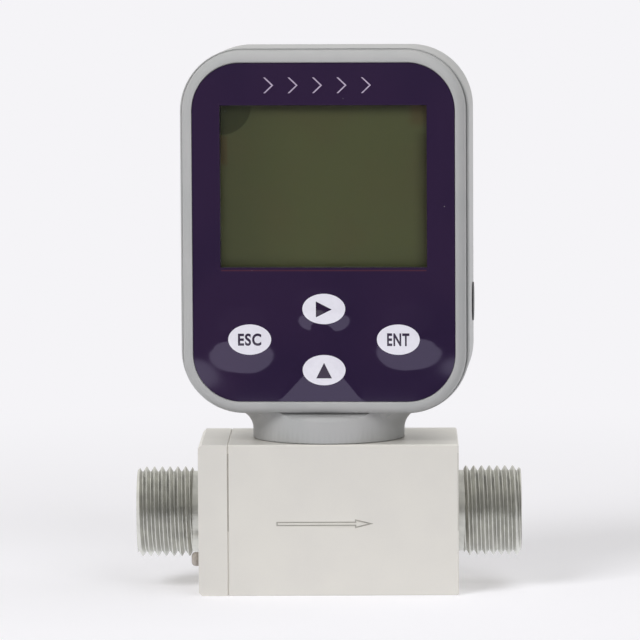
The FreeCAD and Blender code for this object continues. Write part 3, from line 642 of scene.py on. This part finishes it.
def make_lip():
    """Rounded front edge of the neck, which rises behind to the front frame."""
    bpy.ops.mesh.primitive_cylinder_add(
        vertices=160, radius=(NECK_RADIUS - 0.02) * MM, depth=4 * MM,
        location=(0, 0, CASE_BOTTOM * MM))
    lip = settle(chosen())
    side = [(-17.6, 40.2), (-15.9, 40.75), (-14.3, 41.95), (-11.5, 41.95), (-11.5, 40.0)]
    prism = draw_line([(-LIP_REACH, y, z) for y, z in side + side[:1]])
    edit(prism)
    bpy.ops.mesh.remove_doubles(threshold=1e-6)
    bpy.ops.mesh.edge_face_add()
    bpy.ops.mesh.extrude_region_move(
        TRANSFORM_OT_translate={"value": (2 * LIP_REACH * MM, 0, 0)})
    end_edit()
    combine(lip, "INTERSECT", face_outwards(prism))
    rounded_edge = upright_ring([
        (NECK_RADIUS - 0.005, 39.7),
        (NECK_RADIUS - 0.005, 40.15),
        (NECK_RADIUS - 0.10, 40.5),
        (NECK_RADIUS - 0.38, 40.85),
        (NECK_RADIUS - 0.80, 41.1),
        (NECK_RADIUS - 1.35, 41.25),
        (NECK_RADIUS - 2.2, 41.33),
        (NECK_RADIUS - 4.2, 41.4),
        (NECK_RADIUS - 4.2, 39.7),
    ])
    keep_between(rounded_edge, -18.0, -12.0)
    combine(lip, "UNION", rounded_edge)
    turn_with_head(lip)
    smooth(lip, 30)
    dress(lip, "neck_lip", "housing_grey")


# Threaded fittings, with a right-handed pipe thread

ROUND_STEPS = 96
THREAD_PITCH = 1.8143
THREAD_DEPTH = 1.162
THREAD_RADIUS = 10.4775
CORE_RADIUS = 9.2
RELIEF_RADIUS = 9.45
BORE_RADIUS = 6.5
MOUTH_RADIUS = 7.1
END_CHAMFER = 0.8
RUN_OUT_LENGTH = 0.35
RUN_OUT_DEPTH = 0.55
SHANK_OVERLAP = 0.2
END_GAP = 0.003
INLET_THREAD = 12.95
OUTLET_THREAD = 13.3
INLET_CREST = -42.63
OUTLET_CREST = 31.96
FLANGE_LENGTH = 2.5


def turned(profile):
    """Solid turned about the flow axis from a closed profile of (x, radius) points."""
    line = draw_line([(x, 0.0, AXIS_HEIGHT + radius) for x, radius in profile + profile[:1]])
    edit(line)
    bpy.ops.mesh.spin(steps=ROUND_STEPS, angle=2 * math.pi, axis=(1, 0, 0),
                      center=(0, 0, AXIS_HEIGHT * MM))
    end_edit()
    return face_outwards(line)


def thread_profile():
    """One tooth from root to root as (x, radius), with rounded root and crest."""
    root = THREAD_RADIUS - THREAD_DEPTH
    half = THREAD_PITCH / 2
    rise = [(0.0, 0.0), (0.11, 0.02), (0.22, 0.12), (0.78, 0.88), (0.89, 0.98)]
    points = [(share * half, root + level * THREAD_DEPTH) for share, level in rise]
    mirrored = [(THREAD_PITCH - x, radius) for x, radius in reversed(points)]
    return points + [(half, THREAD_RADIUS)] + mirrored


def threaded_rod(low_x, high_x, crest_x):
    """Threaded rod whose crest passes the top at the given place."""
    start = crest_x - THREAD_PITCH / 2
    start -= THREAD_PITCH * math.ceil((start - low_x) / THREAD_PITCH + 1)
    turns = math.ceil((high_x - start) / THREAD_PITCH) + 1
    rod = draw_line([(start + x, 0.0, radius) for x, radius in thread_profile()])
    apply(rod, "SCREW", axis="X", angle=2 * math.pi, screw_offset=THREAD_PITCH * MM,
          iterations=turns, steps=ROUND_STEPS, render_steps=ROUND_STEPS,
          use_merge_vertices=True, merge_threshold=1e-6)
    edit(rod)
    bpy.ops.mesh.remove_doubles(threshold=2e-6)
    bpy.ops.transform.translate(value=(0, 0, AXIS_HEIGHT * MM))
    for x, outer in ((low_x, False), (high_x, True)):
        bpy.ops.mesh.select_all(action="SELECT")
        bpy.ops.mesh.bisect(plane_co=(x * MM, 0, 0), plane_no=(1, 0, 0), use_fill=False,
                            clear_outer=outer, clear_inner=not outer)
    bpy.ops.mesh.select_all(action="DESELECT")
    bpy.ops.mesh.select_non_manifold()
    bpy.ops.mesh.fill_holes(sides=0)
    end_edit()
    return face_outwards(rod)


def threaded_fitting(node_name, end_x, thread_x, crest_x, shank):
    """Fitting with a cut thread between its chamfered end and its plain neck."""
    way = 1 if end_x > thread_x else -1
    inner = CORE_RADIUS - 1
    envelope = turned([
        (end_x - way * END_GAP, inner),
        (end_x - way * END_GAP, THREAD_RADIUS - END_CHAMFER),
        (end_x - way * END_CHAMFER, THREAD_RADIUS + 0.01),
        (thread_x + way * RUN_OUT_LENGTH, THREAD_RADIUS + 0.01),
        (thread_x, THREAD_RADIUS - RUN_OUT_DEPTH),
        (thread_x, inner),
    ])
    rod = threaded_rod(min(end_x, thread_x) - 1, max(end_x, thread_x) + 1, crest_x)
    thread = combine(envelope, "INTERSECT", rod)
    core = turned([
        (end_x, MOUTH_RADIUS),
        (end_x, CORE_RADIUS),
        (thread_x + way * SHANK_OVERLAP, CORE_RADIUS),
        (thread_x + way * SHANK_OVERLAP, RELIEF_RADIUS),
    ] + shank + [
        (end_x - way * (MOUTH_RADIUS - BORE_RADIUS), BORE_RADIUS),
    ])
    combine(core, "UNION", thread)
    smooth(core, 34)
    return dress(core, node_name + "_threaded", "fitting_steel", node_name)


def make_fittings():
    inlet_end = span("inlet_fitting", 0)[0]
    outlet_end = span("outlet_fitting", 0)[1]
    seam_x = span("inlet_fitting", 0)[1]
    flange_radius = (span("inlet_fitting", 1)[1] - span("inlet_fitting", 1)[0]) / 2
    flange_x = seam_x - FLANGE_LENGTH
    threaded_fitting("inlet_fitting", inlet_end, inlet_end + INLET_THREAD, INLET_CREST, [
        (flange_x, RELIEF_RADIUS),
        (flange_x, flange_radius),
        (seam_x, flange_radius),
        (seam_x, BORE_RADIUS),
    ])
    seat_x = span("outlet_fitting", 0)[0]
    groove_radius = RELIEF_RADIUS - 1.26
    threaded_fitting("outlet_fitting", outlet_end, outlet_end - OUTLET_THREAD, OUTLET_CREST, [
        (seat_x + 2.9, RELIEF_RADIUS),
        (seat_x + 2.9, groove_radius),
        (seat_x + 1.3, groove_radius),
        (seat_x + 1.3, RELIEF_RADIUS),
        (seat_x, RELIEF_RADIUS),
        (seat_x, BORE_RADIUS),
    ])


# Film with its keys

# Place, rise and reach of each swelling, with the slack at the low corners last.
SWELLINGS = (
    (-20.1, KEY_MIDDLE + 0.2, 0.32, 8.0),
    (-17.5, KEY_MIDDLE + 0.2, 0.32, 8.4),
    (17.6, KEY_MIDDLE + 0.85, 0.31, 8.5),
    (20.4, KEY_MIDDLE + 0.85, 0.31, 8.3),
    (-2.4, KEY_MIDDLE + KEY_STEP, 0.24, 5.6),
    (2.6, KEY_MIDDLE + KEY_STEP, 0.26, 5.7),
    (-1.3, KEY_MIDDLE + KEY_STEP - 2.6, -0.10, 2.8),
    (-FILM_WIDTH / 2, film_low_z + 2.0, -0.14, 11.0),
    (FILM_WIDTH / 2, film_low_z + 4.0, -0.12, 10.0),
)
CREASE_SLOPE = 0.026
CREASE_FLANK = 0.030
CREASE_LEFT = 0.905
CREASE_RIGHT = 0.774


def press(film, x, z, rise, reach):
    """Swells the film round a place, as its key's dome behind it does."""
    place = Vector((x, FILM_FRONT, z)) * MM
    edit(film, "DESELECT")
    end_edit()
    nearest = min(film.data.vertices, key=lambda vertex: (vertex.co - place).length)
    nearest.select = True
    bpy.ops.object.mode_set(mode="EDIT")
    bpy.ops.transform.translate(
        value=(0, -rise * MM, 0), use_proportional_edit=True,
        proportional_edit_falloff="SMOOTH", proportional_size=reach * MM)
    end_edit()


def crease(film):
    """Stretches the film below the up key flat between two creases that meet above it."""
    top = KEY_MIDDLE - KEY_STEP + 4.2
    for vertex in film.data.vertices:
        x, _, z = vertex.co / MM
        edge = top - abs(x) / (CREASE_LEFT if x < 0 else CREASE_RIGHT)
        facet = CREASE_SLOPE * (z - film_low_z)
        flank = CREASE_SLOPE * (edge - film_low_z) - CREASE_FLANK * (z - edge)
        vertex.co.y -= max(min(facet, flank), 0.0) * MM


def film_blank():
    """Film without its opening, swollen over the keys and a little slack at its low corners."""
    bpy.ops.mesh.primitive_grid_add(
        x_subdivisions=round(FILM_WIDTH / GRID_STEP), y_subdivisions=round(FILM_HEIGHT / GRID_STEP),
        size=1, location=Vector((0, FILM_FRONT, HEAD_MIDDLE)) * MM, rotation=(math.pi / 2, 0, 0))
    film = chosen()
    film.scale = (FILM_WIDTH * MM, FILM_HEIGHT * MM, 1)
    settle(film)
    for x, z, rise, reach in SWELLINGS:
        press(film, x, z, rise, reach)
    crease(film)
    edit(film, "DESELECT")
    bpy.ops.mesh.select_non_manifold()
    bpy.ops.mesh.extrude_edges_move(TRANSFORM_OT_translate={"value": (0, DEEP * MM, 0)})
    bpy.ops.mesh.edge_face_add()
    end_edit()
    face_outwards(film)
    outline = plate(FILM_WIDTH, FILM_HEIGHT, FILM_CORNER, FILM_FRONT - DEEP, FILM_BACK,
                    HEAD_MIDDLE)
    return combine(film, "INTERSECT", outline)


def printed(blank, outline, name, slot, lift):
    """Print on the film: an outline cut from the film's own surface, a hair proud of it."""
    layer = combine(twin(blank), "INTERSECT", outline)
    edit(layer)
    bpy.ops.transform.translate(value=(0, -lift * MM, 0))
    end_edit()
    turn_with_head(layer)
    smooth(layer, 5)
    return dress(layer, name, slot)


def oval_outline(x, z):
    """Upright block with the outline of a key's oval."""
    bpy.ops.mesh.primitive_cylinder_add(
        vertices=96, radius=0.5, depth=DEEP * MM, rotation=(math.pi / 2, 0, 0),
        location=Vector((x, FILM_FRONT, z)) * MM)
    oval = chosen()
    oval.scale = (KEY_WIDTH * MM, KEY_HEIGHT * MM, 1)
    return settle(oval)


def triangle_outline(x, z, width, height, turn):
    """Triangle whose point looks up, or to the right when turned a quarter."""
    half = width / 2
    points = [(-half, -height / 2), (half, -height / 2), (0.0, height / 2)]
    if turn:
        points = [(up, -along) for along, up in points]
    return flat_outline([(x + dx, z + dz) for dx, dz in points])


def flat_outline(points):
    """Upright block over a closed line of (x, z) points."""
    corners = [(x, FILM_FRONT - DEEP / 2, z) for x, z in points]
    shape = draw_line(corners + corners[:1])
    edit(shape)
    bpy.ops.mesh.remove_doubles(threshold=1e-6)
    bpy.ops.mesh.edge_face_add()
    bpy.ops.mesh.extrude_region_move(TRANSFORM_OT_translate={"value": (0, DEEP * MM, 0)})
    end_edit()
    return face_outwards(shape)


def word_outline(word, x, z, width, height):
    """A key's word as an upright block, fitted to a width and a height."""
    bpy.ops.object.text_add()
    text = chosen()
    text.data.body = word
    text.data.resolution_u = 6
    text.data.extrude = 0.5
    text.data.offset = 0.032
    text.data.space_character = 1.12
    bpy.ops.object.convert(target="MESH")
    block = chosen()
    face_outwards(block)
    low = [min(vertex.co[axis] for vertex in block.data.vertices) for axis in (0, 1)]
    high = [max(vertex.co[axis] for vertex in block.data.vertices) for axis in (0, 1)]
    edit(block)
    middle = ((low[0] + high[0]) / 2, (low[1] + high[1]) / 2, 0)
    bpy.ops.transform.translate(value=[-value for value in middle])
    end_edit()
    block.scale = (width * MM / (high[0] - low[0]), height * MM / (high[1] - low[1]), DEEP * MM)
    block.rotation_euler = (math.pi / 2, 0, 0)
    block.location = Vector((x, FILM_FRONT, z)) * MM
    return settle(block)


def chevron_outline(x, z):
    """Thin arrow bracket, five of which fill the plain heading of the panel."""
    reach = 1.25
    half = 1.8
    stroke = 0.42
    return flat_outline([
        (x - reach / 2, z + half),
        (x + reach, z),
        (x - reach / 2, z - half),
        (x - reach / 2 - stroke, z - half),
        (x + reach - stroke, z),
        (x - reach / 2 - stroke, z + half),
    ])


def make_film():
    blank = film_blank()
    keys = {
        "right": (0.0, KEY_MIDDLE + KEY_STEP),
        "up": (0.0, KEY_MIDDLE - KEY_STEP),
        "escape": (-KEY_SPREAD, KEY_MIDDLE),
        "enter": (KEY_SPREAD, KEY_MIDDLE),
    }
    for key, (x, z) in keys.items():
        printed(blank, oval_outline(x, z), key + "_key_oval", "oval_white", PRINT_LIFT)
    signs = {
        "right": triangle_outline(keys["right"][0], keys["right"][1] - 0.1, 3.7, 3.65, True),
        "up": triangle_outline(keys["up"][0], keys["up"][1] - 0.1, 3.6, 3.6, False),
        "escape": word_outline("ESC", keys["escape"][0], keys["escape"][1], 5.35, 2.85),
        "enter": word_outline("ENT", keys["enter"][0], keys["enter"][1], 5.15, 2.95),
    }
    for key, outline in signs.items():
        print_slot = "sign_purple" if key in ("right", "up") else "word_purple"
        printed(blank, outline, key + "_key_sign", print_slot, 2 * PRINT_LIFT)
    for place in range(5):
        outline = chevron_outline((place - 2) * HEADING_STEP + HEADING_SHIFT, HEADING_HEIGHT)
        printed(blank, outline, "heading_chevron_%d" % (place + 1), "heading_lilac", PRINT_LIFT)
    window = plate(WINDOW_WIDTH, WINDOW_HEIGHT, 0, FILM_FRONT - 1, FILM_BACK + 1, WINDOW_MIDDLE)
    film = combine(blank, "DIFFERENCE", window)
    turn_with_head(film)
    smooth(film, 5)
    dress(film, "keypad_film", "overlay_film", "keypad_overlay")


# Camera

SENSOR_WIDTH = 36.0
IMAGE_WIDTH = 640
FOCAL_PIXELS = 5076.0
CAMERA_PLACE = (14.66, -1177.7, 166.07)
CAMERA_YAW = 0.809
CAMERA_PITCH = 5.038
CAMERA_ROLL = -0.30


def make_camera():
    data = bpy.data.cameras.new("camera")
    data.sensor_width = SENSOR_WIDTH
    data.lens = SENSOR_WIDTH * FOCAL_PIXELS / IMAGE_WIDTH
    data.clip_start = 0.05
    data.clip_end = 60.0
    camera = bpy.data.objects.new("camera", data)
    bpy.context.scene.collection.objects.link(camera)
    turn = (Matrix.Rotation(math.radians(CAMERA_YAW), 4, "Z")
            @ Matrix.Rotation(math.radians(90 - CAMERA_PITCH), 4, "X")
            @ Matrix.Rotation(math.radians(CAMERA_ROLL), 4, "Z"))
    camera.matrix_world = Matrix.Translation(Vector(CAMERA_PLACE) * MM) @ turn
    bpy.context.scene.camera = camera


# Studio

BACKGROUND = rgb(245, 244, 247)
LAMP_AIM = (0, 0, 0.07)


def make_floor():
    """Pale floor that keeps the shadow and shows metal and film a bright table with an edge."""
    bpy.ops.mesh.primitive_plane_add(size=6.0, location=(0, 0, 0))
    floor = settle(chosen())
    floor.name = "studio_floor"
    f = finish("studio_floor")
    x, y, _ = f.axes(f.place(scale=(1, 1, 1)))
    radius = ((x * x) + (y * y)) ** 0.5
    matt = f.node("ShaderNodeBsdfDiffuse", None, {"Color": rgb(243, 242, 245)}).out("BSDF")
    soft = f.node("ShaderNodeBsdfDiffuse", None, {"Color": (0.723, 0.722, 0.767, 1)}).out("BSDF")
    glow = f.node("ShaderNodeEmission", None, {"Color": (0.330, 0.322, 0.312, 1)}).out("Emission")
    lifted = f.node("ShaderNodeAddShader", None, {0: soft, 1: glow}).out("Shader")
    pale = f.node("ShaderNodeEmission", None, {"Color": BACKGROUND}).out("Emission")
    glare = f.node("ShaderNodeEmission", None, {"Color": (1.19, 1.19, 1.22, 1)}).out("Emission")
    dark = f.node("ShaderNodeEmission", None, {"Color": (0.012, 0.010, 0.014, 1)}).out("Emission")
    path = f.node("ShaderNodeLightPath")
    seen = f.node("ShaderNodeMixShader", None,
                  {0: radius.rising(0.12, 0.4), 1: lifted, 2: pale}).out("Shader")
    lit = f.node("ShaderNodeMixShader", None,
                 {0: path.out("Is Camera Ray"), 1: matt, 2: seen}).out("Shader")
    front_edge = (y * -1.0).rising(0.425, 0.445)
    mirrored = f.node("ShaderNodeMixShader", None,
                      {0: front_edge, 1: glare, 2: dark}).out("Shader")
    floor.data.materials.append(f.show(f.node(
        "ShaderNodeMixShader", None,
        {0: path.out("Is Glossy Ray"), 1: lit, 2: mirrored}).out("Shader")))


def make_world():
    """White behind the object, an even room light, and a room with a dark low front to mirror."""
    world = bpy.data.worlds.new("studio")
    bpy.context.scene.world = world
    f = Finish(world)
    way = f.node("ShaderNodeTexCoord").out("Generated")
    x, y, z = f.axes(way)
    facing = (y * -1.0).rising(0.35, 0.75)
    low_band = 1.0 - z.rising(0.14, 0.34)
    dark_room = facing * low_band
    overhead = z.rising(0.75, 0.95) * 0.5
    behind = y.rising(0.0, 0.5) * 0.38
    sides = x.size().rising(0.25, 0.80) * 0.22
    mirrored = ((((1.0 - dark_room) * 0.57) + overhead + behind + sides + 0.05)
                * (1.0 - (x * 0.10)))
    ambient = f.node("ShaderNodeBackground", None,
                     {"Color": (1.0, 1.0, 1.0, 1), "Strength": 0.20}).out("Background")
    white = f.node("ShaderNodeBackground", None,
                   {"Color": BACKGROUND, "Strength": 1.0}).out("Background")
    room = f.node("ShaderNodeBackground", None,
                  {"Color": (1.0, 0.99, 0.97, 1), "Strength": mirrored}).out("Background")
    path = f.node("ShaderNodeLightPath")
    lit = f.node("ShaderNodeMixShader", None,
                 {0: path.out("Is Glossy Ray"), 1: ambient, 2: room}).out("Shader")
    straight = path.out("Is Camera Ray").maths("MAXIMUM", path.out("Is Transmission Ray"))
    f.show(f.node("ShaderNodeMixShader", None, {0: straight, 1: lit, 2: white}).out("Shader"))


def add_lamp(name, place, size, power):
    data = bpy.data.lights.new(name, "AREA")
    data.shape = "SQUARE"
    data.size = size
    data.energy = power
    lamp = bpy.data.objects.new(name, data)
    bpy.context.scene.collection.objects.link(lamp)
    lamp.location = place
    lamp.rotation_euler = (Vector(LAMP_AIM) - Vector(place)).to_track_quat("-Z", "Y").to_euler()
    lamp.visible_camera = False
    lamp.visible_glossy = False


def make_lights():
    add_lamp("key_left", (-1.2, -1.4, 1.5), 1.0, 27)
    add_lamp("fill_right", (0.8, -1.6, 1.3), 1.0, 10)
    add_lamp("overhead", (0.5, 0.1, 1.6), 1.2, 6.5)


make_camera()
make_floor()
make_world()
make_lights()
bpy.context.scene.view_settings.view_transform = "Standard"

for node_name in ("flow_body", "end_plate"):
    rounded_copy(node_name, angle=BLOCK_ANGLE)
for node_name in ("front_bezel", "seal_screw", "battery_cover", "port_cap", "housing_screws",
                  "battery_cover_screws", "end_plate_screws"):
    rounded_copy(node_name)
rounded_copy("rear_housing", cutters=(parting_groove(), foot_groove()))
make_flare()
make_lip()
make_fittings()
make_film()
